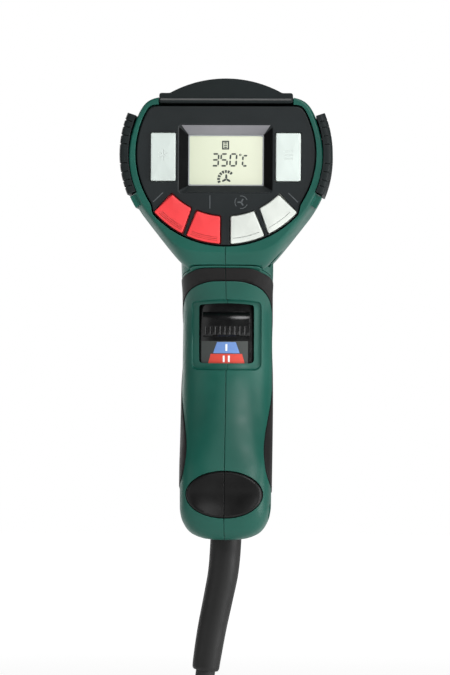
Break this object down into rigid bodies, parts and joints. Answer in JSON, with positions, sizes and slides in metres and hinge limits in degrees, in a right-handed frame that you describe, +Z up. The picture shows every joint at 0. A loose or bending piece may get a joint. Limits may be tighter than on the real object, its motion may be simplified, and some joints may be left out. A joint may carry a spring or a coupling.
{
  "type": "heat gun",
  "caption": "Pistol-shaped electric heat gun with rear display panel, soft grip, sliding thumb switch, side air intakes, round outlet tube and mains cord.",
  "frame": {"origin": "centre of the hand grip, 95 mm below the barrel axis and 34 mm in front of the rear plane", "axes": "+Z up, from the handle to the barrel; +Y the way the hot air blows; the control panel faces -Y; +X to the right seen from the panel"},
  "size_m": [0.0902, 0.255, 0.4837],
  "materials": {
    "green_plastic": "dark green moulded plastic, satin",
    "black_plastic": "charcoal moulded plastic, fine texture",
    "black_rubber": "soft moulded grip rubber",
    "red_key": "coral red, satin",
    "white_key": "off-white, satin",
    "light_button": "pale grey, satin",
    "display_glass": "pale grey-green liquid crystal window",
    "circuit_board": "green solder mask",
    "steel": "bright steel",
    "zinc_plated": "zinc plated",
    "brass": "bright",
    "ceramic": "unglazed, cream",
    "mica": "rolled mica sheet, translucent brown",
    "heating_wire": "dull resistance wire",
    "silicone": "moulded silicone",
    "aluminium": "extruded, plain",
    "filter_mesh": "fine black plastic mesh",
    "cord_rubber": "black rubber sheath"
  },
  "bodies": {
    "body": {"board_screw_left": "zinc_plated", "board_screw_right": "zinc_plated", "cable_clamp": "black_plastic", "clamp_screw_left": "zinc_plated", "clamp_screw_right": "zinc_plated", "control_board": "circuit_board", "control_panel": "black_plastic", "cord_coil": "cord_rubber", "cord_sleeve": "black_rubber", "cord_tie": "black_plastic", "display_module": "display_glass", "display_window": "display_glass", "fan_inlet_plate": "black_plastic", "foot_pad_left": "black_rubber", "foot_pad_right": "black_rubber", "grip_left": "black_rubber", "grip_right": "black_rubber", "heater_coil": "heating_wire", "heater_core": "ceramic", "housing_left": "green_plastic", "housing_right": "green_plastic", "housing_screw_barrel": "zinc_plated", "housing_screw_handle": "zinc_plated", "housing_screw_head": "zinc_plated", "housing_screw_neck": "zinc_plated", "intake_cover_left": "black_plastic", "intake_cover_right": "black_plastic", "intake_filter_left": "filter_mesh", "intake_filter_right": "filter_mesh", "key_mat": "silicone", "mains_cord": "cord_rubber", "mains_plug": "cord_rubber", "mica_sleeve": "mica", "motor_bearing_front": "brass", "motor_bearing_rear": "brass", "motor_can": "zinc_plated", "motor_mount": "black_plastic", "outlet_tube": "steel", "plug_pin_left": "brass", "plug_pin_right": "brass", "power_board": "circuit_board", "power_switch": "black_plastic", "switch_guide": "black_plastic", "temperature_sensor": "steel", "top_hood": "black_plastic", "triac_heat_sink": "aluminium", "tube_support_front": "ceramic", "tube_support_rear": "ceramic"},
    "temperature_down": {"temperature_down_key": "red_key"},
    "temperature_up": {"temperature_up_key": "red_key"},
    "airflow_down": {"airflow_down_key": "white_key"},
    "airflow_up": {"airflow_up_key": "white_key"},
    "cool_air": {"cool_air_button": "light_button"},
    "program": {"program_button": "light_button"},
    "slider": {"switch_slider": "black_plastic"},
    "fan": {"fan_impeller": "black_plastic", "motor_shaft": "steel", "motor_armature": "zinc_plated"},
    "guard": {"barrel_guard": "black_plastic"}
  },
  "joints": [
    {"name": "temperature_down_press", "type": "slide", "parent": "body", "child": "temperature_down", "axis": [0, 1, 0], "range_m": [0, 0.001], "stiffness_N_per_m": 1500, "springref_m": -0.0002},
    {"name": "temperature_up_press", "type": "slide", "parent": "body", "child": "temperature_up", "axis": [0, 1, 0], "range_m": [0, 0.001], "stiffness_N_per_m": 1500, "springref_m": -0.0002},
    {"name": "airflow_down_press", "type": "slide", "parent": "body", "child": "airflow_down", "axis": [0, 1, 0], "range_m": [0, 0.001], "stiffness_N_per_m": 1500, "springref_m": -0.0002},
    {"name": "airflow_up_press", "type": "slide", "parent": "body", "child": "airflow_up", "axis": [0, 1, 0], "range_m": [0, 0.001], "stiffness_N_per_m": 1500, "springref_m": -0.0002},
    {"name": "cool_air_press", "type": "slide", "parent": "body", "child": "cool_air", "axis": [0, 1, 0], "range_m": [0, 0.001], "stiffness_N_per_m": 1500, "springref_m": -0.0002},
    {"name": "program_press", "type": "slide", "parent": "body", "child": "program", "axis": [0, 1, 0], "range_m": [0, 0.001], "stiffness_N_per_m": 1500, "springref_m": -0.0002},
    {"name": "switch_slide", "type": "slide", "parent": "body", "child": "slider", "axis": [0, 0, -1], "range_m": [0, 0.01]},
    {"name": "fan_spin", "type": "hinge", "parent": "body", "child": "fan", "pos_m": [0, 0.037, 0.095], "axis": [0, 1, 0], "continuous": true},
    {"name": "guard_slide", "type": "slide", "parent": "body", "child": "guard", "axis": [0, 1, 0], "range_m": [0, 0.07]}
  ]
}
